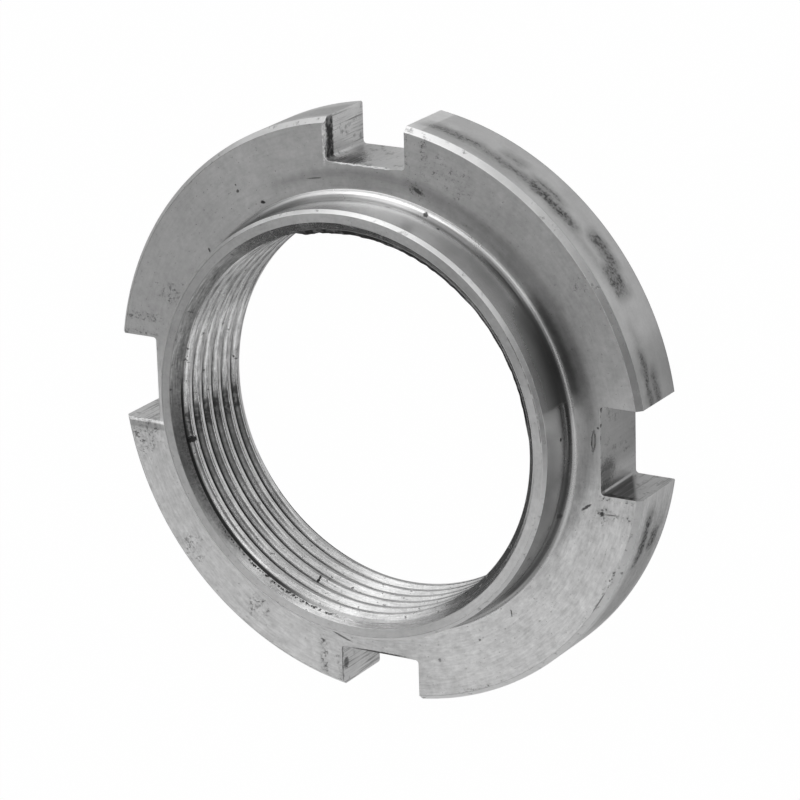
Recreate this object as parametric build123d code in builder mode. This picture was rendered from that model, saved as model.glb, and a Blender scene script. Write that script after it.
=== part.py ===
from build123d import *
import os

# Bearing lock nut: a slotted round nut with a raised hub, turned and milled from one piece of steel.
# Millimetres. +Z runs along the thread axis towards the hub.
# The origin is the centre of the bore on the flat back face.

# Thread: the bore is drawn smooth, at the basic minor diameter of the thread.
thread_diameter = 35.0
thread_pitch = 1.5
minor_diameter_factor = 1.0825
front_lead_in = 0.95
back_lead_in = 0.7

# Hub, the collar that bears on the inner ring of the bearing
hub_wall = 2.0
hub_height = 4.1
hub_edge_chamfer = 0.3
hub_root_radius = 0.85

# Flange, which carries the spanner slots
flange_shoulder = 6.8
flange_thickness = 6.25
rim_chamfer_radial = 0.44
rim_chamfer_axial = 0.52
rim_back_chamfer = 0.15

# Spanner slots, milled straight through the flange
slot_count = 4
slot_width = 7.6
slot_depth = 3.95
slot_corner_radius = 0.3

bore_radius = (thread_diameter - minor_diameter_factor * thread_pitch) / 2
hub_radius = bore_radius + hub_wall
flange_radius = hub_radius + flange_shoulder
total_height = flange_thickness + hub_height


def corner_at(sketch, radius, height):
    """The corner of the half section nearest to a radius and a height."""
    return sketch.vertices().sort_by_distance((radius, height, 0))[0]


with BuildPart() as lock_nut:
    # Half section that the lathe leaves: bore, back face, rim, front face and hub
    with BuildSketch(Plane.XZ) as section:
        with BuildLine():
            Polyline(
                (bore_radius, 0),
                (flange_radius, 0),
                (flange_radius, flange_thickness - rim_chamfer_axial),
                (flange_radius - rim_chamfer_radial, flange_thickness),
                (hub_radius, flange_thickness),
                (hub_radius, total_height),
                (bore_radius, total_height),
                close=True,
            )
        make_face()
        fillet(corner_at(section, hub_radius, flange_thickness), hub_root_radius)
        chamfer(corner_at(section, hub_radius, total_height), hub_edge_chamfer)
        chamfer(corner_at(section, bore_radius, total_height), front_lead_in)
        chamfer(corner_at(section, bore_radius, 0), back_lead_in)
        chamfer(corner_at(section, flange_radius, 0), rim_back_chamfer)
    revolve(axis=Axis.Z)

    # Spanner slots: each cut is centred on the rim, so half its length is the depth of the slot
    with BuildSketch() as slots:
        with PolarLocations(flange_radius, slot_count):
            Rectangle(2 * slot_depth, slot_width)
        floor_corners = [v for v in slots.vertices() if Vector(*v).length < flange_radius]
        fillet(floor_corners, slot_corner_radius)
    extrude(amount=flange_thickness, mode=Mode.SUBTRACT)

os.makedirs("parts", exist_ok=True)
lock_nut.part.label = "lock_nut"
export_step(lock_nut.part, "parts/lock_nut.step")
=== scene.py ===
import math
import time
import bmesh
import bpy
from mathutils import Matrix, Vector, noise


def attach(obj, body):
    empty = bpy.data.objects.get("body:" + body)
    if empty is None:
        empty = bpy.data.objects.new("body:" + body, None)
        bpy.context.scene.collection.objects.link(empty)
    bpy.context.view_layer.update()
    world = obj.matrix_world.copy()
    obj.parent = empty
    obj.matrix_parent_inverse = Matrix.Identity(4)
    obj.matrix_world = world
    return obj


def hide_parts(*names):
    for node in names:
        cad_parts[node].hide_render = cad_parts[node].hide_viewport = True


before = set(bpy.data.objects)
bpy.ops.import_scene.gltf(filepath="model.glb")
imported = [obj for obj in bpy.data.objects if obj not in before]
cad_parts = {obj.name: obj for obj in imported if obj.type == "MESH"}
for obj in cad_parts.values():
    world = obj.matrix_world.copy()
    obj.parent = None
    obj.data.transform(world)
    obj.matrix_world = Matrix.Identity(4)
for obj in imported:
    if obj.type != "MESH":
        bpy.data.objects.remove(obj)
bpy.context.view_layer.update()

startTime = time.time()
metresPerMm = 0.001
turnSteps = 360  # facets in one full turn, shared by the body and the thread


def report(stage, obj=None):
    count = f", {len(obj.data.polygons)} faces" if obj else ""
    print(f"{stage}{count}, {time.time() - startTime:.1f} s")


# The nut in millimetres, +Z along the thread axis towards the hub
nut = {
    "boreRadius": 16.688,
    "frontLeadIn": 0.95,
    "backLeadIn": 0.7,
    "hubRadius": 18.688,
    "hubEdge": 0.3,
    "hubRoot": 0.85,
    "flangeRadius": 25.488,
    "flangeThickness": 6.25,
    "height": 10.35,
    "rimChamferRadial": 0.44,
    "rimChamferAxial": 0.52,
    "rimBackEdge": 0.15,
    "edgeBreak": 0.03,  # soft edge left on every turned corner
    "breakAbove": 25,  # degrees between facets from which a corner is softened
    "wide": 3.0,  # a straight run longer than this is cut into rings
    "rings": 12,
    "rootSteps": 12,
    "nearEdge": 0.02,  # how far from its own radius a facet still belongs to a surface
    "aboveFace": 0.005,  # how far above the face the fillet starts
    "frontFrom": 1.0,  # height above which a facet isn't part of the back
    "smoothBelow": 10,  # degrees between facets that are shaded as one surface
}

slot = {
    "count": 4,
    "width": 7.6,
    "depth": 3.95,
    "corner": 0.3,
    "cornerSteps": 12,
    "clear": 1.0,  # how far the cutter stands out in front
    "edgeBreak": 0.035,
    "breakAbove": 40,
}

# Metric thread, right-hand, cut after the bore
thread = {
    "pitch": 1.5,
    "majorRadius": 17.52,
    "flank": 30,
    "rootFlat": 0.19,
    "crestSoftening": 0.05,
    "coreGap": 0.15,  # how far the cutter's core stays clear of the bore
    "turns": 10,
    "start": -2.80,
    "beyond": 0.6,  # how far the cutter stands out at both ends
    "merge": 0.0005,
    "nearEnd": 0.01,
    "runOut": 9.16,  # height at azimuth 0 of the line where the last groove leaves the lead-in
}


# Detail and roughness of the noise in each pattern
noiseLook = {"cloud": (4.0, 0.6), "fine": (4.0, 0.7), "lines": (3.0, 0.6), "markEdge": (3.0, 0.7)}


# Node helpers

def addNode(tree, kind, inputs=None, **settings):
    made = tree.nodes.new("ShaderNode" + kind)
    for name, value in settings.items():
        setattr(made, name, value)
    for name, value in (inputs or {}).items():
        if isinstance(value, bpy.types.NodeSocket):
            tree.links.new(value, made.inputs[name])
        else:
            made.inputs[name].default_value = value
    return made


def compute(tree, operation, *values):
    return addNode(tree, "Math", dict(enumerate(values)), operation=operation).outputs[0]


# Takes one more value into a running total, which starts as None
def take(tree, operation, total, value):
    return compute(tree, operation, total, value) if total else value


def product(tree, *values):
    total = None
    for value in values:
        total = take(tree, "MULTIPLY", total, value)
    return total


def highest(tree, *values):
    total = None
    for value in values:
        total = take(tree, "MAXIMUM", total, value)
    return total


# 1 where the share is 0, and the gain where it is 1
def gained(tree, share, gain):
    return compute(tree, "MULTIPLY_ADD", share, gain - 1, 1.0)


def blend(tree, share, low, high):
    return compute(tree, "MULTIPLY_ADD", compute(tree, "SUBTRACT", high, low), share, low)


def grade(tree, value, low, high, toLow=0.0, toHigh=1.0):
    inputs = {"Value": value, "From Min": low, "From Max": high, "To Min": toLow, "To Max": toHigh}
    return addNode(tree, "MapRange", inputs, interpolation_type="SMOOTHSTEP").outputs[0]


def grain(tree, vector, perMm, detail=3.0, roughness=0.55):
    inputs = {"Vector": vector, "Scale": perMm, "Detail": detail, "Roughness": roughness}
    return addNode(tree, "TexNoise", inputs).outputs["Fac"]


# Grain that is cut off at two levels, which leaves patches
def patchy(tree, at, perMm, detail, roughness, *levels):
    return grade(tree, grain(tree, at["mm"], perMm, detail, roughness), *levels)


# Grain about zero, up to a reach either way
def wander(tree, at, reach, *pattern):
    return compute(tree, "MULTIPLY_ADD", grain(tree, at["mm"], *pattern), 2 * reach, -reach)


def vectorMath(tree, operation, *values, output=0, **named):
    inputs = dict(enumerate(values))
    inputs.update(named)
    return addNode(tree, "VectorMath", inputs, operation=operation).outputs[output]


def surfacePlaces(tree):
    position = addNode(tree, "TexCoord").outputs["Object"]
    mm = vectorMath(tree, "SCALE", position, Scale=1 / metresPerMm)
    flat = vectorMath(tree, "MULTIPLY", mm, (1, 1, 0))
    return {
        "mm": mm,
        "radius": vectorMath(tree, "LENGTH", flat, output="Value"),
        "around": vectorMath(tree, "NORMALIZE", flat),
        "height": addNode(tree, "SeparateXYZ", {0: mm}).outputs["Z"],
    }


# How far round the nut a point lies, in turns from +X
def turnShare(tree, at):
    opposite = vectorMath(tree, "SCALE", at["around"], Scale=-1)
    parts = addNode(tree, "SeparateXYZ", {0: opposite}).outputs
    angle = compute(tree, "ARCTAN2", parts["Y"], parts["X"])
    return compute(tree, "MULTIPLY_ADD", angle, 1 / math.tau, 0.5)


# Distance from the middle plane of a slot: with COSINE the slot that comes next round the nut,
# with SINE the one before
def besideSlot(tree, at, side):
    part = compute(tree, "FRACT", compute(tree, "MULTIPLY", turnShare(tree, at), slot["count"]))
    angle = compute(tree, "MULTIPLY", part, math.tau / slot["count"])
    return compute(tree, "MULTIPLY", at["radius"], compute(tree, side, angle))


# Fine lines that a lathe leaves: long around the axis, close together across it
def turnedLines(tree, at, perMm, perTurn):
    across = compute(tree, "ADD", at["radius"], at["height"])
    lift = addNode(tree, "CombineXYZ", {2: compute(tree, "MULTIPLY", across, perMm)}).outputs[0]
    path = vectorMath(tree, "SCALE", at["around"], Scale=perTurn)
    return grain(tree, vectorMath(tree, "ADD", path, lift), 1.0, *noiseLook["lines"])


# Lines that the slot cutter leaves as it runs through the flange
def milledLines(tree, at, perMm, perMmAlong):
    squeezed = vectorMath(tree, "MULTIPLY", at["mm"], (perMm, perMm, perMmAlong))
    return grain(tree, squeezed, 1.0, *noiseLook["lines"])


# One stretch round the nut, in degrees. Settings give such a stretch as (azimuth, half width, soft edge)
def sector(tree, at, azimuth, half, soft):
    a = math.radians(azimuth)
    turned = vectorMath(tree, "DOT_PRODUCT", at["around"], (math.cos(a), math.sin(a), 0), output="Value")
    outer, inner = math.cos(math.radians(half + soft)), math.cos(math.radians(max(half - soft, 0)))
    return grade(tree, turned, outer, inner)


# The half of the nut past an azimuth, or before it when side is -1
def halfTurn(tree, at, azimuth, side):
    return sector(tree, at, azimuth + 90 * side, 90, 0.5)


def band(tree, value, middle, half, soft):
    away = compute(tree, "ABSOLUTE", compute(tree, "SUBTRACT", value, middle))
    return grade(tree, away, half + soft, half - soft)


# How ragged the outlines of the marks are, and how they fade, in shares of a mark's size
markEdge = {
    "perMm": 6.0, "fade": (1.3, 0.7),
    "dent": 0.6, "clusters": 0.6, "face": 1.0, "hub": 0.75, "slot": 0.9, "thread": 1.0,
}


# Spots and scratches. Each mark: azimuth, radius, height of its middle, half sizes
# (radial, around, up), turn in its surface, strength. A round one needs no place of its own
def markMask(tree, at, marks, kind):
    rough = wander(tree, at, markEdge[kind], markEdge["perMm"], *noiseLook["markEdge"])
    mask = None
    for azimuth, radius, height, half, turn, strength in marks:
        a = math.radians(azimuth)
        middle = (radius * math.cos(a), radius * math.sin(a), height)
        if half[0] == half[1]:
            away = vectorMath(tree, "DISTANCE", at["mm"], middle, output="Value")
            reach = compute(tree, "MULTIPLY_ADD", away, 1 / half[0], rough)
        else:
            turned = (0, 0, a + math.radians(turn))
            inputs = {"Vector": at["mm"], "Location": middle, "Rotation": turned, "Scale": half}
            placed = addNode(tree, "Mapping", inputs, vector_type="TEXTURE").outputs[0]
            reach = compute(tree, "ADD", vectorMath(tree, "LENGTH", placed, output="Value"), rough)
        mask = take(tree, "MAXIMUM", mask, grade(tree, reach, *markEdge["fade"], 0.0, strength))
    return mask


# Patterns added up about zero, each with its weight
def weighted(tree, parts):
    total = None
    for value, weight in parts:
        centred = compute(tree, "MULTIPLY_ADD", value, weight, -0.5 * weight)
        total = take(tree, "ADD", total, centred)
    return total


# Brighter and darker stretches round the nut, as a gain; most tables given to it are painted light and
# shade. Each one: azimuth, half width, soft edge, gain
def stretchGain(tree, at, stretches):
    gain = 1.0
    for azimuth, half, soft, level in stretches:
        gain = compute(tree, "MULTIPLY", gained(tree, sector(tree, at, azimuth, half, soft), level), gain)
    return gain


# Stretches that may overlap, the strongest counting. Each one: its sector, strength
def overlappingStretches(tree, at, stretches):
    mask = None
    for where, strength in stretches:
        mask = take(tree, "MAXIMUM", mask, product(tree, sector(tree, at, *where), strength))
    return mask


# Speckled and streaked metal in one stretch, as a gain about 1
def mottled(tree, at, m):
    varied = weighted(tree, [
        (grain(tree, at["mm"], *m["grain"]), m["specks"]),
        (turnedLines(tree, at, *m["lines"]), m["streaks"]),
    ])
    return compute(tree, "ADD", product(tree, varied, sector(tree, at, *m["where"])), 1.0)


# How grime, and the painted shade that some surfaces keep in the same mask, change the steel under them,
# whatever its colour
soilAndShadeLook = {"roughness": 0.25, "metal": 0.5}


def steel(name, look, lines, dirtAndShade, shine):
    material = bpy.data.materials.new(name)
    material.use_nodes = True
    tree = material.node_tree
    at = surfacePlaces(tree)
    cloud = grain(tree, at["mm"], look["cloudPerMm"], *noiseLook["cloud"])
    fine = grain(tree, at["mm"], look["grainPerMm"], *noiseLook["fine"])
    marks = lines(tree, at, look["linesPerMm"], look["linesAlong"])
    varied = [(cloud, look["cloudTone"]), (fine, look["grainTone"]), (marks, look["linesTone"])]
    tone = product(tree, compute(tree, "ADD", weighted(tree, varied), 1.0), look["tone"])
    rough = weighted(tree, [(cloud, look["cloudRough"]), (fine, look["grainRough"])])
    rough = compute(tree, "ADD", rough, look["roughness"])
    relief = weighted(tree, [(marks, look["linesRelief"]), (fine, look["grainRelief"])])
    tone = product(tree, tone, shine(tree, at))
    # The dark mask: grime, and on the hub, slots, rim and thread also painted shade, given the look's soil
    # tone
    soilAndShade = dirtAndShade(tree, at)
    tone = product(tree, tone, compute(tree, "SUBTRACT", 1.0, soilAndShade))
    tone = compute(tree, "MULTIPLY_ADD", soilAndShade, look["soilAndShadeTone"], tone)
    rough = compute(tree, "MULTIPLY_ADD", soilAndShade, soilAndShadeLook["roughness"], rough)
    relief = compute(tree, "MULTIPLY_ADD", soilAndShade, -look["soilAndShadeDepth"], relief)
    metal = grade(tree, soilAndShade, 0.0, 1.0, 1.0, soilAndShadeLook["metal"])
    bump = addNode(tree, "Bump", {"Height": relief, "Distance": metresPerMm, "Strength": 1.0})
    shader = tree.nodes["Principled BSDF"]
    tree.links.new(metal, shader.inputs["Metallic"])
    tree.links.new(tone, shader.inputs["Base Color"])
    tree.links.new(rough, shader.inputs["Roughness"])
    tree.links.new(bump.outputs["Normal"], shader.inputs["Normal"])
    return material


# Flat turned faces: the front of the flange, the end of the hub and the back

faceLook = {
    "tone": 0.52, "roughness": 0.36,
    "cloudPerMm": 0.28, "cloudTone": 0.45, "cloudRough": 0.10,
    "grainPerMm": 1.7, "grainTone": 0.50, "grainRough": 0.10, "grainRelief": 0.0003,
    "linesPerMm": 4.5, "linesAlong": 9.0, "linesTone": 0.26, "linesRelief": 0.0006,
    "soilAndShadeTone": 0.05, "soilAndShadeDepth": 0.02,
}

# Spots and scratches of the face: azimuth, radius, half size radial and around, turn, strength
faceMarks = [
    (103.8, 20.5, 0.06, 0.60, -4, 0.6),
    (120.3, 19.95, 0.13, 0.22, -30, 1.0),
    (141.6, 19.95, 0.20, 0.10, -30, 0.8),
    (125.0, 21.85, 0.13, 0.13, 0, 0.8),
    (124.6, 22.4, 0.08, 0.08, 0, 0.8),
    (346.0, 20.8, 0.11, 0.50, -40, 0.85),
    (345.9, 22.3, 0.20, 0.20, 0, 0.95),
    (346.5, 23.1, 0.60, 0.07, 17, 0.6),
    (309.7, 20.3, 0.32, 0.05, -30, 0.8),
    (298.0, 21.0, 0.10, 0.10, 0, 0.5),
    (285.7, 21.9, 0.14, 0.14, 0, 0.45),
    (328.0, 25.0, 0.06, 1.20, 0, 0.6),
    (9.3, 22.3, 0.15, 0.15, 0, 0.95),
    (6.6, 21.85, 0.13, 0.13, 0, 0.95),
    (5.2, 21.4, 0.10, 0.10, 0, 0.8),
    (260.0, 21.0, 0.07, 0.85, -9, 0.6),
    (269.8, 21.47, 0.07, 2.20, 1, 0.85),
    (76.0, 20.55, 0.17, 0.58, -14, 0.85),
]

# Clusters of fine specks, written as the spots are
faceClusters = [
    (76.0, 20.55, 0.42, 1.10, -14, 1.0),
    (72.5, 23.6, 0.7, 0.7, 0, 0.8),
    (73.5, 22.5, 0.5, 0.5, 0, 0.8),
    (67.5, 22.6, 1.4, 1.4, 0, 0.6),
    (345.8, 22.6, 0.8, 0.8, 0, 0.8),
    (332.0, 25.0, 0.25, 2.6, 0, 0.9),
    (192.5, 23.9, 1.6, 1.6, 0, 0.8),
    (219.0, 23.9, 1.4, 1.4, 0, 0.5),
    (238.0, 22.9, 1.2, 1.2, 0, 0.6),
    (158.0, 21.2, 1.2, 1.2, 0, 0.5),
    (35.0, 24.3, 1.0, 1.0, 0, 0.5),
    (292.0, 24.9, 0.2, 2.4, 0, 0.7),
]

# A dent whose outline has caught the dirt
dentOutline = [(2.0, 20.9, 0.20, 0.95, -5, 0.95)]
dentFloor = [(2.0, 20.9, 0.11, 0.72, -5, 0.75)]

# Single specks and dense ones, and grime in lines beside each slot
faceSpecks = {
    "grain": (4.4, 2.0, 0.8),
    "single": (0.67, 0.73, 0.0, 0.6),
    "dense": (0.50, 0.68),
    "densePatches": (1.5, 3.0, 0.55, 0.4, 0.6, 0.3, 1.0),
    "strips": [(4.05, 0.22, 0.8), (5.6, 0.35, 0.8)],  # way from the slot's middle, half width, strength
    "stripSoft": 0.2,
    "stripsFrom": (21.3, 22.0),
}

# Painted light and shade on the flange's face and on the end of the hub: brighter and darker stretches
# round the nut
flangeLightAndShade = [
    (317.0, 32.0, 12.0, 1.24), (230.0, 24.0, 14.0, 1.06), (152.0, 16.0, 14.0, 0.88),
    (45.0, 32.0, 10.0, 0.92), (95.0, 83.0, 12.0, 0.84), (252.0, 10.0, 8.0, 1.05),
]
hubEndLightAndShade = [
    (165.0, 62.0, 22.0, 0.78), (44.0, 20.0, 10.0, 0.73), (56.0, 12.0, 8.0, 0.93), (330.0, 18.0, 10.0, 1.14),
    (80.0, 10.0, 8.0, 0.88), (160.0, 26.0, 12.0, 0.85), (284.0, 12.0, 10.0, 0.90),
]
hubEndFrom = (8.0, 9.0)

# Painted shade, and in places painted light, in rings of the face round the foot of the hub: azimuth, half
# width, soft edge, radius, half breadth, gain
rootShadeAndLight = [
    (25.0, 13.0, 4.0, 19.8, 0.5, 0.50),
    (44.0, 30.0, 8.0, 20.4, 0.8, 0.64),
    (95.0, 20.0, 8.0, 20.8, 0.4, 0.74),
    (84.0, 22.0, 8.0, 19.5, 0.1, 1.22),
    (342.0, 10.0, 6.0, 20.4, 0.8, 1.25),
    (2.0, 7.0, 4.0, 19.9, 0.5, 1.22),
]
rootSoft = 0.45

faceMottle = {
    "grain": (0.9, 4.0, 0.7), "specks": 0.5, "lines": (5.5, 24.0), "streaks": 0.6,
    "where": (270.0, 85.0, 12.0),
}

# A broken dark line just inside the edge of the hub's end
endLine = {
    "radius": 18.35, "half": 0.05, "soft": 0.03, "where": (18.0, 16.0, 3.0),
    "broken": (2.0, 3.0, 0.55, 0.42, 0.52, 0.0, -0.55),
}

# Painted highlights along the metal pushed over the far edge of two slots, in one whole and in the other
# broken, with a painted shadow behind the whole one
burrGlints = {
    "edge": 3.90, "half": 0.12, "soft": 0.05, "shine": 0.75,
    "burrShadowAt": 4.35, "burrShadowHalf": 0.26, "burrShadowSoft": 0.12, "burrShadow": -0.32,
    "wander": (0.12, 1.6), "from": (21.3, 21.7),
    "whole": (190.5, 3.0, 0.5), "torn": (100.5, 2.0, 0.5),
    "tornPatches": (2.5, 3.0, 0.55, 0.35, 0.65),
}

# A painted highlight where the floor of the slot on +Y meets the face
sillHighlight = {"y": 21.47, "half": 0.05, "soft": 0.04, "shine": 1.4, "where": (90.5, 7.0, 1.5)}


def onFace(marks):
    top = nut["flangeThickness"]
    return [
        (azimuth, radius, top, (radial, around, 1.0), turn, strength)
        for azimuth, radius, radial, around, turn, strength in marks
    ]


# Painted highlights and shadow along the slots' edges, as a gain about 1
def slotEdgeHighlights(tree, at):
    b = burrGlints
    shift = wander(tree, at, *b["wander"])
    beside = compute(tree, "ADD", besideSlot(tree, at, "SINE"), shift)
    whole = sector(tree, at, *b["whole"])
    torn = product(tree, sector(tree, at, *b["torn"]), patchy(tree, at, *b["tornPatches"]))
    bright = product(tree, band(tree, beside, b["edge"], b["half"], b["soft"]), b["shine"])
    bright = product(tree, bright, highest(tree, whole, torn))
    burrShadow = product(tree, band(tree, beside, b["burrShadowAt"], b["burrShadowHalf"], b["burrShadowSoft"]), b["burrShadow"], whole)
    lines = product(tree, compute(tree, "ADD", bright, burrShadow), grade(tree, at["radius"], *b["from"]))
    s = sillHighlight
    across = compute(tree, "ADD", addNode(tree, "SeparateXYZ", {0: at["mm"]}).outputs["Y"], shift)
    sill = product(tree, band(tree, across, s["y"], s["half"], s["soft"]), s["shine"])
    sill = product(tree, sill, sector(tree, at, *s["where"]))
    return compute(tree, "ADD", compute(tree, "ADD", lines, sill), 1.0)


# Painted light and shade on the face, with painted highlights and shadow at the slots' edges, its mottle
# and a broken dark line
def faceLightAndMottle(tree, at):
    flange, hubEnd = stretchGain(tree, at, flangeLightAndShade), stretchGain(tree, at, hubEndLightAndShade)
    for azimuth, half, soft, radius, breadth, gain in rootShadeAndLight:
        ring = band(tree, at["radius"], radius, breadth, rootSoft)
        share = product(tree, sector(tree, at, azimuth, half, soft), ring)
        flange = product(tree, flange, gained(tree, share, gain))
    flange = product(tree, flange, slotEdgeHighlights(tree, at))
    flange = product(tree, flange, mottled(tree, at, faceMottle))
    e = endLine
    line = band(tree, at["radius"], e["radius"], e["half"], e["soft"])
    line = product(tree, line, sector(tree, at, *e["where"]))
    line = product(tree, line, patchy(tree, at, *e["broken"]))
    hubEnd = product(tree, hubEnd, compute(tree, "ADD", line, 1.0))
    return blend(tree, grade(tree, at["height"], *hubEndFrom), flange, hubEnd)


def faceDirt(tree, at):
    f = faceSpecks
    speckle = grain(tree, at["mm"], *f["grain"])
    single = grade(tree, speckle, *f["single"])
    dense = product(tree, grade(tree, speckle, *f["dense"]), patchy(tree, at, *f["densePatches"]))
    clusters = product(tree, markMask(tree, at, onFace(faceClusters), "clusters"), dense)
    beside = besideSlot(tree, at, "COSINE")
    strips = None
    for middle, half, strength in f["strips"]:
        strip = product(tree, band(tree, beside, middle, half, f["stripSoft"]), strength)
        strips = take(tree, "MAXIMUM", strips, strip)
    strips = product(tree, strips, grade(tree, at["radius"], *f["stripsFrom"]), dense)
    specks = highest(tree, single, clusters, strips)
    dent = markMask(tree, at, onFace(dentOutline), "dent")
    dent = compute(tree, "SUBTRACT", dent, markMask(tree, at, onFace(dentFloor), "dent"))
    spots = highest(tree, markMask(tree, at, onFace(faceMarks), "face"), dent)
    return highest(tree, specks, spots)


# Small chamfers, cut last with a sharp tool and so the brightest

chamferLook = {
    "tone": 0.85, "roughness": 0.41,
    "cloudPerMm": 0.6, "cloudTone": 0.30, "cloudRough": 0.10,
    "grainPerMm": 5.0, "grainTone": 0.12, "grainRough": 0.06, "grainRelief": 0.0003,
    "linesPerMm": 5.0, "linesAlong": 5.0, "linesTone": 0.10, "linesRelief": 0.0005,
    "soilAndShadeTone": 0.06, "soilAndShadeDepth": 0.01,
}

# Painted light and shade on the chamfers: much darker round the far side, a little brighter in one stretch
chamferLightAndShade = [(165.0, 42.0, 8.0, 0.62), (18.0, 10.0, 6.0, 1.04)]
chamferSoil = {"patches": (1.5, 4.0, 0.7, 0.55, 0.72, 0.0, 0.6), "clouds": (0.3, 2.0, 0.55, 0.35, 0.6)}


def chamferShine(tree, at):
    return stretchGain(tree, at, chamferLightAndShade)


def chamferDirt(tree, at):
    c = chamferSoil
    return product(tree, patchy(tree, at, *c["patches"]), patchy(tree, at, *c["clouds"]))


# Wall and root fillet of the hub

hubLook = {
    "tone": 0.57, "roughness": 0.24,
    "cloudPerMm": 0.4, "cloudTone": 0.25, "cloudRough": 0.06,
    "grainPerMm": 5.0, "grainTone": 0.14, "grainRough": 0.04, "grainRelief": 0.0003,
    "linesPerMm": 5.0, "linesAlong": 2.0, "linesTone": 0.12, "linesRelief": 0.0005,
    "soilAndShadeTone": 0.05, "soilAndShadeDepth": 0.01,
}
filletLook = dict(hubLook, tone=0.60, roughness=0.28)

hubMarks = [
    (67.1, 18.7, 7.05, (0.5, 0.14, 0.12), 0, 0.85),
    (72.2, 18.9, 6.45, (0.5, 0.22, 0.14), 0, 0.85),
    (82.1, 18.7, 7.05, (0.5, 0.24, 0.07), 0, 0.5),
    (87.6, 18.7, 8.10, (0.5, 0.12, 0.07), 0, 0.5),
    (3.0, 18.7, 7.65, (0.5, 0.15, 0.15), 0, 0.9),
    (341.2, 18.7, 6.60, (0.5, 0.25, 0.25), 0, 0.7),
    (347.5, 18.8, 6.90, (0.5, 2.20, 0.42), 0, 0.45),
    (338.4, 18.7, 7.60, (0.5, 0.20, 0.12), 0, 0.5),
    (322.0, 18.7, 7.20, (0.5, 0.25, 0.16), 0, 0.7),
    (330.0, 18.7, 8.90, (0.5, 0.15, 0.15), 0, 0.6),
]

# Painted reflections, bright and dark, high on the wall, low on it, on the fillet and on the very edge of
# the fillet
upperReflections = [
    (335.0, 28.0, 8.0, 0.60), (352.0, 12.0, 6.0, 0.80), (26.0, 10.0, 5.0, 1.75), (47.0, 9.0, 5.0, 1.72),
    (62.0, 6.0, 5.0, 1.30), (77.0, 14.0, 6.0, 1.42), (100.0, 8.0, 8.0, 0.88), (122.0, 12.0, 6.0, 0.28),
]
lowerReflections = [
    (345.0, 12.0, 6.0, 0.82), (2.0, 8.0, 5.0, 0.76), (44.0, 16.0, 8.0, 1.22), (86.0, 14.0, 8.0, 0.90),
    (124.0, 10.0, 8.0, 0.54),
]
filletReflections = [
    (336.0, 26.0, 6.0, 0.28), (12.0, 9.0, 5.0, 0.55), (36.0, 18.0, 6.0, 0.34), (64.0, 8.0, 9.0, 0.66),
    (122.0, 12.0, 6.0, 0.55), (84.0, 16.0, 8.0, 0.95), (14.0, 14.0, 8.0, 0.76),
]
edgeReflections = [
    (358.0, 8.0, 8.0, 0.85), (22.0, 13.0, 6.0, 0.46), (44.0, 10.0, 6.0, 0.84), (84.0, 22.0, 8.0, 1.28),
]

# Heights between which each of these changes into the one above it
reflectionHeights = {"edge": (6.36, 6.46), "fillet": (6.55, 7.15), "wall": (7.2, 9.4)}

# A painted highlight where the fillet meets the face
edgeHighlight = {"where": (88.0, 26.0, 8.0), "radius": 19.36, "half": 0.12, "soft": 0.10, "gain": 1.35}

# A painted reflection: a bright patch with a sharp edge at one azimuth, and painted shade low on the wall
# that starts there
reflectedPatch = {"edge": 11.6, "where": (4.0, 8.0, 4.0), "gain": 1.45}
footShade = {"where": (20.0, 13.0, 9.0), "heights": (9.8, 6.8, 0.0, 0.82)}


# Painted shade low on the hub's wall, and dark marks
def hubDirtAndShade(tree, at):
    f = footShade
    foot = grade(tree, at["height"], *f["heights"])
    foot = product(tree, foot, grade(tree, at["height"], *reflectionHeights["edge"]))
    foot = product(tree, foot, sector(tree, at, *f["where"]))
    foot = product(tree, foot, halfTurn(tree, at, reflectedPatch["edge"], 1))
    return highest(tree, foot, markMask(tree, at, hubMarks, "hub"))


# Painted reflections on the hub's wall and fillet, as a gain
def hubReflections(tree, at):
    p = reflectedPatch
    patch = product(tree, halfTurn(tree, at, p["edge"], -1), sector(tree, at, *p["where"]))
    high = grade(tree, at["height"], *reflectionHeights["wall"])
    wall = blend(tree, high, stretchGain(tree, at, lowerReflections), stretchGain(tree, at, upperReflections))
    wall = product(tree, wall, gained(tree, patch, p["gain"]))
    wall = blend(tree, grade(tree, at["height"], *reflectionHeights["fillet"]), stretchGain(tree, at, filletReflections), wall)
    e = edgeHighlight
    line = band(tree, at["radius"], e["radius"], e["half"], e["soft"])
    line = product(tree, line, sector(tree, at, *e["where"]))
    edge = product(tree, stretchGain(tree, at, edgeReflections), gained(tree, line, e["gain"]))
    return blend(tree, grade(tree, at["height"], *reflectionHeights["edge"]), edge, wall)


# Rim of the flange

rimLook = {
    "tone": 0.60, "roughness": 0.32,
    "cloudPerMm": 0.45, "cloudTone": 0.35, "cloudRough": 0.08,
    "grainPerMm": 5.0, "grainTone": 0.22, "grainRough": 0.06, "grainRelief": 0.002,
    "linesPerMm": 2.5, "linesAlong": 8.0, "linesTone": 0.12, "linesRelief": 0.002,
    "soilAndShadeTone": 0.03, "soilAndShadeDepth": 0.005,
}

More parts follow.
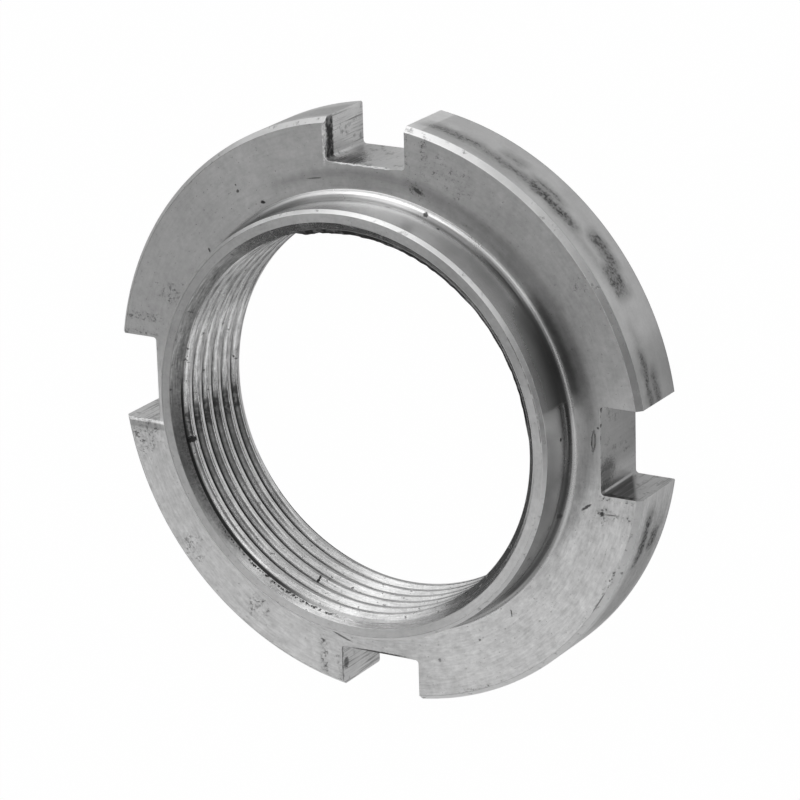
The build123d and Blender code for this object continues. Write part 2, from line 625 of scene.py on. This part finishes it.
# Oily smudges: azimuth, height, half width in degrees, half height, strength
rimSmudges = [
    (341.5, 3.9, 6.0, 0.70, 1.0),
    (340.5, 2.1, 1.6, 0.90, 0.9),
    (332.0, 2.8, 14.0, 2.00, 0.5),
    (13.0, 4.2, 6.0, 0.45, 0.9),
    (10.5, 3.1, 3.5, 0.50, 0.85),
    (20.0, 4.1, 3.0, 0.30, 0.5),
    (32.5, 3.2, 2.4, 1.20, 0.8),
    (38.0, 2.4, 3.6, 0.85, 0.85),
    (38.0, 4.3, 8.0, 0.35, 0.45),
    (50.5, 3.9, 6.5, 0.75, 0.9),
    (53.0, 2.9, 3.0, 0.45, 0.8),
    (61.5, 4.0, 6.0, 0.70, 0.75),
    (62.0, 2.5, 1.2, 0.60, 0.6),
    (73.0, 3.95, 6.5, 0.75, 0.75),
    (68.0, 5.0, 11.0, 0.6, 0.35),
    (110.0, 3.5, 12.0, 2.0, 0.5),
]

# How the smudges spread and break up, and painted shade in a line along the back edge, where the nut stands
# on the floor
rimSoilAndShade = {
    "softAround": 3.0, "softUp": 0.7, "wander": (0.8, 0.6, 5.0, 0.7),
    "broken": (1.1, 1.8, 6.0, 0.8), "uneven": (3.4, 5.0, 0.8, 0.38, 0.60, 0.50, 1.15),
    "torn": (0.0, 0.9), "haze": 0.6, "foot": (0.30, 0.12, 0.0, 0.6),
}

# A strip beside one slot that a wheel has dressed bright, a dull end and a rough one
rimWear = [(80.0, 1.6, 0.4, 1.35), (12.0, 6.0, 5.0, 0.68)]
rimMottle = {
    "grain": (4.0, 3.0, 0.7), "specks": 0.7, "lines": (6.0, 16.0), "streaks": 1.1,
    "where": (334.0, 16.0, 5.0),
}


# Oily smudges, and painted shade along the back edge
def rimDirtAndShade(tree, at):
    r = rimSoilAndShade
    broken = wander(tree, at, *r["broken"])
    uneven = patchy(tree, at, *r["uneven"])
    height = compute(tree, "ADD", at["height"], wander(tree, at, *r["wander"]))
    mask = None
    for azimuth, middle, width, half, strength in rimSmudges:
        spread = product(tree, sector(tree, at, azimuth, width, r["softAround"]), strength)
        smudge = product(tree, spread, band(tree, height, middle, half, r["softUp"]))
        mask = take(tree, "MAXIMUM", mask, smudge)
    torn = product(tree, grade(tree, compute(tree, "ADD", mask, broken), *r["torn"]), mask, uneven)
    haze = product(tree, mask, r["haze"])
    return highest(tree, torn, haze, grade(tree, at["height"], *r["foot"]))


def rimShine(tree, at):
    return product(tree, stretchGain(tree, at, rimWear), mottled(tree, at, rimMottle))


# Walls and floors of the slots

slotLook = {
    "tone": 0.62, "roughness": 0.30,
    "cloudPerMm": 0.5, "cloudTone": 0.5, "cloudRough": 0.1,
    "grainPerMm": 5.0, "grainTone": 0.25, "grainRough": 0.05, "grainRelief": 0.002,
    "linesPerMm": 3.0, "linesAlong": 0.12, "linesTone": 0.26, "linesRelief": 0.005,
    "soilAndShadeTone": 0.04, "soilAndShadeDepth": 0.01,
}

# Painted shade over the floors of the slots on +Y and +X, and grime near the front edges and on one wall
slotMarksAndShade = [
    (95.4, 21.6, 5.2, (0.3, 1.4, 1.2), 0, 0.95),
    (98.0, 21.9, 5.9, (0.5, 0.9, 0.35), 0, 0.8),
    (96.3, 21.5, 4.4, (0.3, 1.1, 1.8), 0, 0.75),
    (352.5, 21.5, 5.2, (0.3, 1.8, 1.6), 0, 0.65),
    (261.0, 23.6, 5.6, (0.5, 0.6, 0.40), 0, 0.8),
    (9.6, 21.7, 6.1, (0.3, 0.35, 0.25), 0, 0.95),
    (5.8, 21.6, 6.15, (0.3, 0.12, 0.15), 0, 0.95),
]

# Patches, scores along the cut above the floor corner, a broken line at the front edge, and the streaks
# and ragged edges of the marks and bands
slotSoil = {
    "patches": (1.0, 5.0, 0.7, 0.52, 0.70, 0.0, 0.55),
    "scores": (6.5, 0.20), "scoreLevels": (0.52, 0.68, 0.0, 0.6), "scoresFrom": (21.9, 22.1),
    "front": (6.08, 6.20), "broken": (1.3, 3.0, 0.55, 0.50, 0.42, 0.0, 0.9),
    "streaks": (5.0, 0.15), "streakLevels": (0.36, 0.60, 0.75, 1.0),
    "ragged": (0.4, 2.8, 4.0, 0.7), "rubbed": (1.6, 4.0, 0.7, 0.30, 0.55, 0.62, 1.0),
}

# Dark bands near the front edges of three walls: azimuth, height, half height, radius, half length,
# strength
slotBands = [
    (99.3, 5.40, 0.53, 23.6, 1.8, 1.0),
    (350.6, 6.02, 0.40, 23.3, 1.5, 1.0),
    (260.6, 6.16, 0.08, 23.3, 1.8, 0.75),
]
bandSoft = {"height": 0.12, "radius": 0.3}
oneWall = (1.3, 0.4)  # half width and soft edge of the sector that holds one wall of a slot

# A dark corner of one wall, wider towards the front: how far out it reaches at the back, how much
# further for each mm of height, how soft that edge is, and where the floor corner ends it
slotShade = {
    "azimuth": 350.6, "start": 21.7, "slope": 0.56, "soft": 0.35, "corner": (21.91, 22.01),
    "strength": 0.86,
}

# Two brighter walls and a darker floor, and a painted highlight of a burr along the front edge of one slot
slotTones = [(99.3, 0.9, 0.4, 1.20), (261.0, 1.4, 0.4, 1.15), (2.0, 7.0, 2.0, 0.68)]
frontBurrHighlight = {
    "from": (6.10, 6.20), "broken": (1.3, 3.0, 0.55, 0.38, 0.50, 0.2, 1.5), "where": (140.0, 55.0, 2.0),
}


def slotShine(tree, at):
    f = frontBurrHighlight
    burr = product(tree, patchy(tree, at, *f["broken"]), sector(tree, at, *f["where"]))
    burr = compute(tree, "MULTIPLY_ADD", grade(tree, at["height"], *f["from"]), burr, 1.0)
    return product(tree, stretchGain(tree, at, slotTones), burr)


# Grime, painted shade on the slot floors and in one wall's corner, and dark bands
def slotDirtAndShade(tree, at):
    d = slotSoil
    scores = grade(tree, milledLines(tree, at, *d["scores"]), *d["scoreLevels"])
    scores = product(tree, scores, grade(tree, at["radius"], *d["scoresFrom"]))
    front = product(tree, grade(tree, at["height"], *d["front"]), patchy(tree, at, *d["broken"]))
    mask = highest(tree, patchy(tree, at, *d["patches"]), scores, front)
    streaks = grade(tree, milledLines(tree, at, *d["streaks"]), *d["streakLevels"])
    mask = highest(tree, mask, product(tree, markMask(tree, at, slotMarksAndShade, "slot"), streaks))
    s = slotShade
    limit = compute(tree, "MULTIPLY_ADD", at["height"], s["slope"], s["start"])
    shade = grade(tree, compute(tree, "SUBTRACT", limit, at["radius"]), 0.0, s["soft"], 0.0, s["strength"])
    shade = product(tree, shade, sector(tree, at, s["azimuth"], *oneWall))
    shade = product(tree, shade, grade(tree, at["radius"], *s["corner"]))
    mask = highest(tree, mask, product(tree, shade, streaks))
    height = compute(tree, "ADD", at["height"], wander(tree, at, *d["ragged"]))
    rubbed = patchy(tree, at, *d["rubbed"])
    for azimuth, middle, half, radius, reach, strength in slotBands:
        black = product(tree, band(tree, height, middle, half, bandSoft["height"]), strength, rubbed)
        black = product(tree, black, band(tree, at["radius"], radius, reach, bandSoft["radius"]))
        black = product(tree, black, sector(tree, at, azimuth, *oneWall))
        mask = highest(tree, mask, black)
    return mask


# Thread and lead-in

threadLook = {
    "tone": 0.66, "roughness": 0.24,
    "cloudPerMm": 0.8, "cloudTone": 0.45, "cloudRough": 0.08,
    "grainPerMm": 3.6, "grainTone": 0.55, "grainRough": 0.08, "grainRelief": 0.0025,
    "linesPerMm": 5.5, "linesAlong": 10.0, "linesTone": 0.8, "linesRelief": 0.004,
    "soilAndShadeTone": 0.03, "soilAndShadeDepth": 0.02,
}

threadMarks = [
    (193.2, 17.0, 8.9, (0.8, 0.28, 0.40), 0, 1.0),
    (249.4, 16.9, 6.50, (0.9, 0.13, 0.75), 0, 1.0),
    (259.2, 16.9, 3.8, (0.6, 0.12, 0.12), 0, 0.9),
    (195.5, 17.4, 10.15, (0.5, 0.07, 0.18), 0, 0.7),
    (205.2, 17.4, 10.10, (0.5, 0.07, 0.16), 0, 0.6),
    (152.5, 17.2, 9.95, (0.5, 0.08, 0.22), 0, 0.7),
    (177.2, 17.5, 10.28, (0.5, 0.12, 0.12), 0, 0.7),
    (128.5, 17.4, 10.10, (0.5, 0.10, 0.14), 0, 0.6),
]

# Where the lead-in is: height less radius
leadInFrom = (-7.42, -7.34)

# Grime and painted shade in the roots, deeper in one stretch and absent from the last turn
rootGrimeAndShade = {
    "radius": (17.10, 17.26), "deep": (212.0, 36.0, 9.0), "depths": (0.0, 1.0, 0.25, 0.95),
    "last": (244.0, 38.0, 6.0), "lastFrom": (9.3, 9.6),
}

# Stains across the thread, and painted shade on the lead-in
threadStains = {
    "where": [((188.5, 4.0, 2.5), 0.85), ((199.0, 10.0, 8.0), 0.45)],
    "radius": (16.73, 16.82), "patches": (2.6, 3.0, 0.6, 0.3, 0.6, 0.4, 1.0),
}
leadInShade = {
    "where": [((160.0, 32.0, 10.0), 0.42), ((206.0, 22.0, 8.0), 0.58)],
    "radius": (17.60, 17.10, 0.55, 1.15), "patches": (4.0, 3.0, 0.7, 0.35, 0.65, 0.8, 1.2),
}

# Black in the ragged foot of the lead-in, and specks everywhere
footBlack = {
    "radius": (16.98, 16.86), "from": (9.1, 9.25), "where": (57.0, 50.0, 4.0),
    "patches": (1.2, 3.0, 0.55, 0.3, 0.5, 0.6, 1.0),
}
threadSpecks = (2.0, 3.0, 0.7, 0.62, 0.72, 0.0, 0.7)

# Torn dots along the line where the last groove runs out across the lead-in
runOutDots = {
    "wander": (0.15, 1.2), "dots": (5.0, 2.0, 0.55, 0.44, 0.56), "above": (0.10, 0.07, 0.05),
    "where": (240.0, 23.0, 5.0),
}

# Brighter and darker stretches of the thread
threadTones = [
    (172.0, 9.0, 5.0, 0.85), (192.0, 10.0, 6.0, 0.85), (262.0, 14.0, 7.0, 0.74), (284.0, 8.0, 6.0, 1.12),
]

# Lines of painted light and shade along the flank: azimuth, half width, soft edge, radius, half breadth,
# softness, change
flankLines = [
    (205.0, 22.0, 8.0, 16.86, 0.07, 0.05, -0.60),
    (212.0, 24.0, 10.0, 17.05, 0.04, 0.06, 0.55),
    (232.0, 8.0, 8.0, 16.84, 0.10, 0.08, -0.20),
    (154.0, 23.0, 6.0, 16.95, 0.08, 0.07, 0.72),
]
flankBelow = (9.6, 9.3)

# Crests rubbed bright and given a painted highlight in one stretch, and streaks along the turns
crestRubAndHighlight = {"radius": (16.78, 16.72, 0.0, 0.32), "below": (9.3, 9.1), "where": (202.0, 26.0, 10.0)}
threadStreaks = {"lines": (6.0, 14.0), "strength": 2.2, "where": (155.0, 28.0, 8.0)}


def tornEdge(tree, at):
    d = runOutDots
    flank = math.radians(thread["flank"])
    climb = thread["pitch"] / (1 + math.tan(flank))  # the 45 degree cone flattens the helix
    climb = compute(tree, "MULTIPLY_ADD", turnShare(tree, at), climb, thread["runOut"])
    above = compute(tree, "SUBTRACT", at["height"], climb)
    above = compute(tree, "ADD", above, wander(tree, at, *d["wander"]))
    dots = product(tree, patchy(tree, at, *d["dots"]), band(tree, above, *d["above"]))
    return product(tree, dots, sector(tree, at, *d["where"]))


# Grime, painted shade in the roots and on the lead-in, stains, marks and specks
def threadDirtAndShade(tree, at):
    inLeadIn = grade(tree, compute(tree, "SUBTRACT", at["height"], at["radius"]), *leadInFrom)
    r = rootGrimeAndShade
    deep = grade(tree, sector(tree, at, *r["deep"]), *r["depths"])
    root = product(tree, grade(tree, at["radius"], *r["radius"]), deep)
    last = product(tree, sector(tree, at, *r["last"]), grade(tree, at["height"], *r["lastFrom"]))
    root = product(tree, root, compute(tree, "SUBTRACT", 1.0, last))
    s = threadStains
    stain = product(tree, overlappingStretches(tree, at, s["where"]), grade(tree, at["radius"], *s["radius"]))
    stain = product(tree, stain, patchy(tree, at, *s["patches"]))
    turns = product(tree, highest(tree, root, stain), compute(tree, "SUBTRACT", 1.0, inLeadIn))
    f = leadInShade
    leadInDark = product(tree, overlappingStretches(tree, at, f["where"]), grade(tree, at["radius"], *f["radius"]))
    leadInDark = product(tree, leadInDark, patchy(tree, at, *f["patches"]), inLeadIn)
    b = footBlack
    black = product(tree, grade(tree, at["radius"], *b["radius"]), grade(tree, at["height"], *b["from"]))
    black = product(tree, black, sector(tree, at, *b["where"]), patchy(tree, at, *b["patches"]))
    mask = highest(tree, turns, black, patchy(tree, at, *threadSpecks))
    mask = highest(tree, mask, leadInDark, tornEdge(tree, at))
    return highest(tree, mask, markMask(tree, at, threadMarks, "thread"))


# Painted highlights and shade on the crests and flanks, streaks, and brighter and darker stretches
def threadShine(tree, at):
    c = crestRubAndHighlight
    crest = product(tree, grade(tree, at["radius"], *c["radius"]), grade(tree, at["height"], *c["below"]))
    crest = product(tree, crest, sector(tree, at, *c["where"]))
    flank = None
    for azimuth, half, soft, radius, breadth, blur, change in flankLines:
        line = product(tree, band(tree, at["radius"], radius, breadth, blur), change)
        line = product(tree, line, sector(tree, at, azimuth, half, soft))
        flank = take(tree, "ADD", flank, line)
    flank = product(tree, flank, grade(tree, at["height"], *flankBelow))
    s = threadStreaks
    streaks = weighted(tree, [(turnedLines(tree, at, *s["lines"]), s["strength"])])
    streaks = product(tree, streaks, sector(tree, at, *s["where"]))
    shine = compute(tree, "ADD", compute(tree, "ADD", crest, flank), compute(tree, "ADD", streaks, 1.0))
    return product(tree, shine, stretchGain(tree, at, threadTones))


finishes = {
    "face": steel("turned_face", faceLook, turnedLines, faceDirt, faceLightAndMottle),
    "hub": steel("hub_wall", hubLook, turnedLines, hubDirtAndShade, hubReflections),
    "rim": steel("rim_surface", rimLook, turnedLines, rimDirtAndShade, rimShine),
    "slot": steel("milled_slot", slotLook, milledLines, slotDirtAndShade, slotShine),
    "thread": steel("thread_flank", threadLook, turnedLines, threadDirtAndShade, threadShine),
    "chamfer": steel("turned_chamfer", chamferLook, turnedLines, chamferDirt, chamferShine),
    "fillet": steel("hub_fillet", filletLook, turnedLines, hubDirtAndShade, hubReflections),
}
zone = {name: i for i, name in enumerate(finishes)}  # each finish's material slot on the nut
report("materials made")


def newObject(name, bm, materials=()):
    mesh = bpy.data.meshes.new(name)
    bm.to_mesh(mesh)
    bm.free()
    for material in materials:
        mesh.materials.append(material)
    obj = bpy.data.objects.new(name, mesh)
    bpy.context.collection.objects.link(obj)
    return obj


def arcPoints(centreR, centreZ, radius, fromDeg, toDeg, steps):
    points = []
    for i in range(steps + 1):
        a = math.radians(fromDeg + (toDeg - fromDeg) * i / steps)
        points.append((centreR + radius * math.cos(a), centreZ + radius * math.sin(a)))
    return points


def turnedBody():
    n = nut
    top, face = n["height"], n["flangeThickness"]
    corners = [
        (n["boreRadius"], n["backLeadIn"]),
        (n["boreRadius"] + n["backLeadIn"], 0),
        (n["flangeRadius"] - n["rimBackEdge"], 0),
        (n["flangeRadius"], n["rimBackEdge"]),
        (n["flangeRadius"], face - n["rimChamferAxial"]),
        (n["flangeRadius"] - n["rimChamferRadial"], face),
    ]
    root = n["hubRoot"]
    corners += arcPoints(n["hubRadius"] + root, face + root, root, 270, 180, n["rootSteps"])
    corners += [
        (n["hubRadius"], top - n["hubEdge"]),
        (n["hubRadius"] - n["hubEdge"], top),
        (n["boreRadius"] + n["frontLeadIn"], top),
        (n["boreRadius"], top - n["frontLeadIn"]),
    ]
    bm = bmesh.new()
    verts = [bm.verts.new((r, 0, z)) for r, z in corners]
    edges = [bm.edges.new((a, b)) for a, b in zip(verts, verts[1:] + verts[:1])]
    wide = [e for e in edges if e.calc_length() > n["wide"]]
    bmesh.ops.subdivide_edges(bm, edges=wide, cuts=n["rings"])
    bmesh.ops.spin(
        bm, geom=bm.verts[:] + bm.edges[:], cent=(0, 0, 0), axis=(0, 0, 1),
        angle=math.tau, steps=turnSteps, use_merge=True,
    )
    bmesh.ops.recalc_face_normals(bm, faces=bm.faces)
    corner = math.radians(n["breakAbove"])
    sharp = [e for e in bm.edges if e.is_manifold and e.calc_face_angle() > corner]
    bmesh.ops.bevel(
        bm, geom=sharp, offset=n["edgeBreak"], segments=2, profile=0.5,
        affect="EDGES", material=-1,
    )
    for facet in bm.faces:
        facet.material_index = zone[turnedZone(facet.calc_center_median())]
    return bm


# Which surface of the turned body a facet belongs to, by where its middle lies
def turnedZone(middle):
    n = nut
    radius, height = middle.xy.length, middle.z
    front = height > n["frontFrom"]
    outside = radius > n["hubRadius"] - n["hubEdge"]
    if radius > n["flangeRadius"] - n["nearEdge"]:
        return "rim"
    if front and radius > n["flangeRadius"] - n["rimChamferRadial"]:
        return "chamfer"
    if front and radius < n["boreRadius"] + n["frontLeadIn"] - n["nearEdge"]:
        return "thread"
    if outside and height > n["height"] - n["hubEdge"]:
        return "chamfer"
    if outside and height > n["flangeThickness"] + n["hubRoot"]:
        return "hub"
    if outside and height > n["flangeThickness"] + n["aboveFace"]:
        return "fillet"
    return "face"


def slotCutter():
    s = slot
    size = (2 * s["depth"], s["width"], 2 * (nut["flangeThickness"] + s["clear"]))
    bm = bmesh.new()
    for i in range(s["count"]):
        bar = bmesh.ops.create_cube(bm, size=1)["verts"]
        bmesh.ops.scale(bm, verts=bar, vec=size)
        bmesh.ops.translate(bm, verts=bar, vec=(nut["flangeRadius"], 0, 0))
        edges = [e for e in bm.edges if e.verts[0] in bar]
        upright = [e for e in edges if abs(e.verts[0].co.z - e.verts[1].co.z) > s["clear"]]
        inner = [e for e in upright if e.verts[0].co.x < nut["flangeRadius"]]
        bmesh.ops.bevel(
            bm, geom=inner, offset=s["corner"], segments=s["cornerSteps"], profile=0.5,
            affect="EDGES", material=-1,
        )
        bmesh.ops.rotate(
            bm, verts=bm.verts, cent=(0, 0, 0),
            matrix=Matrix.Rotation(math.tau / s["count"], 3, "Z"),
        )
    return bm


def breakSlotEdges(body):
    bm = bmesh.new()
    bm.from_mesh(body.data)
    corner = math.radians(slot["breakAbove"])
    rims = []
    for edge in bm.edges:
        beside = {face.material_index for face in edge.link_faces}
        if zone["slot"] in beside and len(beside) > 1 and edge.calc_face_angle(0) > corner:
            rims.append(edge)
    bmesh.ops.bevel(
        bm, geom=rims, offset=slot["edgeBreak"], segments=2, profile=0.5,
        affect="EDGES", material=-1, clamp_overlap=True,
    )
    bm.to_mesh(body.data)
    bm.free()


def threadCutter():
    t = thread
    pitch, middle = t["pitch"], t["pitch"] / 2
    minor, major = nut["boreRadius"], t["majorRadius"]
    core = minor - t["coreGap"]
    slope = math.tan(math.radians(t["flank"]))
    root = t["rootFlat"] / 2
    soft = t["crestSoftening"]
    flankFoot = root + (major - minor - soft) * slope
    crest = flankFoot + soft
    half = [(core, crest + t["coreGap"] / 2), (minor, crest), (minor + soft, flankFoot), (major, root)]
    points = [(core, 0)]
    points += [(r, middle - h) for r, h in half]
    points += [(r, middle + h) for r, h in reversed(half)]
    points += [(core, pitch)]
    bm = bmesh.new()
    verts = [bm.verts.new((r, 0, t["start"] + z)) for r, z in points]
    for a, b in zip(verts, verts[1:]):
        bm.edges.new((a, b))
    bmesh.ops.spin(
        bm, geom=bm.verts[:] + bm.edges[:], cent=(0, 0, 0), axis=(0, 0, 1),
        dvec=(0, 0, pitch / turnSteps), angle=math.tau, steps=turnSteps,
    )
    firstTurn = bm.verts[:] + bm.edges[:] + bm.faces[:]
    for i in range(1, t["turns"]):
        copied = bmesh.ops.duplicate(bm, geom=firstTurn)["geom"]
        moved = [v for v in copied if isinstance(v, bmesh.types.BMVert)]
        bmesh.ops.translate(bm, verts=moved, vec=(0, 0, pitch * i))
    bmesh.ops.remove_doubles(bm, verts=bm.verts, dist=t["merge"])
    for height, side in ((-t["beyond"], -1), (nut["height"] + t["beyond"], 1)):
        bmesh.ops.bisect_plane(
            bm, geom=bm.verts[:] + bm.edges[:] + bm.faces[:], dist=t["merge"] / 5,
            plane_co=(0, 0, height), plane_no=(0, 0, side), clear_outer=True,
        )
        openEdges = [e for e in bm.edges if e.is_boundary]
        rim = [e for e in openEdges if abs(e.verts[0].co.z - height) < t["nearEnd"]]
        bmesh.ops.holes_fill(bm, edges=rim)
    bmesh.ops.recalc_face_normals(bm, faces=bm.faces)
    return bm


def cutAway(body, cutter):
    cut = body.modifiers.new("cut", "BOOLEAN")
    cut.operation = "DIFFERENCE"
    cut.solver = "MANIFOLD"
    cut.object = cutter
    cut.material_mode = "TRANSFER"
    graph = bpy.context.evaluated_depsgraph_get()
    mesh = bpy.data.meshes.new_from_object(body.evaluated_get(graph))
    body.modifiers.clear()
    body.data = mesh
    bpy.data.objects.remove(cutter)


# Burr that the tap has pushed inwards at the foot of the lead-in
boreBurr = {
    "line": [  # azimuth, how far it stands out
        (4, 0.0), (8, 0.13), (46, 0.15), (48, 0.22), (68, 0.24), (70, 0.26), (84, 0.27), (86, 0.30),
        (104, 0.30), (107, 0.0),
    ],
    "deep": 0.1,  # how far outside the bore it starts
    "high": 0.25,  # how far below the lead-in
    "least": 0.8,  # share of the line where the noise is zero
    "varied": 0.4,
    "perMm": 1.7,
}


def ragBore(body):
    n, b = nut, boreBurr
    for vert in body.data.vertices:
        radius = vert.co.xy.length
        if radius > n["boreRadius"] + b["deep"] or vert.co.z < n["height"] - n["frontLeadIn"] - b["high"]:
            continue
        azimuth = math.degrees(math.atan2(vert.co.y, vert.co.x)) % 360
        for (start, low), (end, high) in zip(b["line"], b["line"][1:]):
            if start <= azimuth < end:
                reach = low + (high - low) * (azimuth - start) / (end - start)
                reach *= b["least"] + b["varied"] * noise.noise(vert.co * b["perMm"])
                vert.co.xy *= (radius - reach) / radius


body = newObject("lock_nut_turned", turnedBody(), finishes.values())
report("turned body", body)
cutAway(body, newObject("slots", slotCutter(), [finishes["slot"]]))
breakSlotEdges(body)
report("slots cut", body)
cutAway(body, newObject("screw", threadCutter(), [finishes["thread"]]))
report("thread cut", body)

ragBore(body)
body.data.transform(Matrix.Scale(metresPerMm, 4))
body.data.set_sharp_from_angle(angle=math.radians(nut["smoothBelow"]))
for face in body.data.polygons:
    face.use_smooth = True

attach(body, "root")
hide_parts("lock_nut")

# Camera: where the photograph looks from
view = {
    "lens": 181.07,
    "target": (2.737, 1.660, 6.25),
    "azimuth": 32.973,
    "elevation": 54.495,
    "roll": 119.498,
    "distance": 334.9,
    "clip": (0.01, 10),
}


def towards(azimuth, elevation):
    a, e = math.radians(azimuth), math.radians(elevation)
    return Vector((math.cos(a) * math.cos(e), math.sin(a) * math.cos(e), math.sin(e)))


def addCamera():
    v = view
    camera = bpy.data.objects.new("camera", bpy.data.cameras.new("camera"))
    bpy.context.collection.objects.link(camera)
    camera.data.lens = v["lens"]
    back = towards(v["azimuth"], v["elevation"])
    level = Vector((0, 0, 1)).cross(back).normalized()
    upright = back.cross(level)
    roll = math.radians(v["roll"])
    up = upright * math.cos(roll) + level * math.sin(roll)
    right = up.cross(back)
    turn = Matrix((right, up, back)).transposed()
    place = (Vector(v["target"]) + back * v["distance"]) * metresPerMm
    camera.matrix_world = Matrix.Translation(place) @ turn.to_4x4()
    camera.data.clip_start, camera.data.clip_end = v["clip"]
    bpy.context.scene.camera = camera


addCamera()

# Pale paper, lit as any floor is, which looks white to the camera and glows a little in reflections
floorLook = {
    "size": 3.0,
    "tone": 0.85,
    "roughness": 0.9,
    "whiteToCamera": 0.99,
    "whiteToGloss": 0.27,
}


def addFloor():
    f = floorLook
    paper = bpy.data.materials.new("paper")
    paper.use_nodes = True
    tree = paper.node_tree
    shader = tree.nodes["Principled BSDF"]
    shader.inputs["Base Color"].default_value = (f["tone"], f["tone"], f["tone"], 1)
    shader.inputs["Roughness"].default_value = f["roughness"]
    glow = addNode(tree, "Emission")
    path = addNode(tree, "LightPath").outputs
    share = compute(tree, "MULTIPLY", path["Is Camera Ray"], f["whiteToCamera"])
    share = compute(tree, "MULTIPLY_ADD", path["Is Glossy Ray"], f["whiteToGloss"], share)
    share = compute(tree, "MULTIPLY_ADD", path["Is Transmission Ray"], f["whiteToCamera"], share)
    both = addNode(tree, "MixShader", {0: share, 1: shader.outputs[0], 2: glow.outputs[0]})
    tree.links.new(both.outputs[0], tree.nodes["Material Output"].inputs["Surface"])
    bm = bmesh.new()
    bmesh.ops.create_grid(bm, x_segments=1, y_segments=1, size=f["size"])
    floor = newObject("floor", bm, [paper])


addFloor()

# Soft boxes round the nut: azimuth, elevation, half angles across and up, brightness
softBoxes = {
    "nearSide": (52, 33, 14, 12, 0.77),
    "lowRight": (80, 14, 14, 13, 0.57),
    "low": (108, 12, 14, 12, 1.46),
    "lowLeft": (140, 8, 18, 12, 0.41),
    "windowRight": (85, 44, 16, 14, 0.50),
    "window": (115, 40, 16, 14, 1.66),
    "windowLeft": (146, 40, 15, 14, 0.84),
    "windowTop": (110, 62, 20, 9, 0.44),
    "underRight": (322, 22, 14, 10, 0.60),
    "under": (290, 14, 18, 12, 0.38),
    "underMiddle": (285, 38, 20, 12, 0.15),
    "underLeft": (262, 24, 12, 14, 0.38),
    "high": (275, 64, 16, 13, 0.71),
    "back": (222, 45, 16, 12, 1.23),
    "right": (322, 48, 14, 12, 0.47),
    "spot": (337, 55, 8, 9, 0.44),
    "zenith": (33, 82, 20, 8, 1.6),
    "backLeft": (180, 61, 7, 7, 1.5),
    "nearTop": (40, 56, 9, 7, 1.3),
}
boxDistance = 1.0
worldTone = 0.06


def addSoftBox(name, azimuth, elevation, halfAcross, halfUp, brightness):
    light = bpy.data.lights.new(name, "AREA")
    light.shape = "RECTANGLE"
    light.size = 2 * boxDistance * math.tan(math.radians(halfAcross))
    light.size_y = 2 * boxDistance * math.tan(math.radians(halfUp))
    light.energy = brightness * math.pi * light.size * light.size_y
    box = bpy.data.objects.new(name, light)
    back = towards(azimuth, elevation)
    box.location = back * boxDistance
    box.rotation_euler = back.to_track_quat("Z", "Y").to_euler()
    box.visible_camera = False
    bpy.context.collection.objects.link(box)


for name, numbers in softBoxes.items():
    addSoftBox(name, *numbers)

world = bpy.data.worlds.new("world")
bpy.context.scene.world = world
world.use_nodes = True
world.node_tree.nodes["Background"].inputs["Color"].default_value = (worldTone, worldTone, worldTone, 1)
bpy.context.scene.view_settings.view_transform = "Standard"
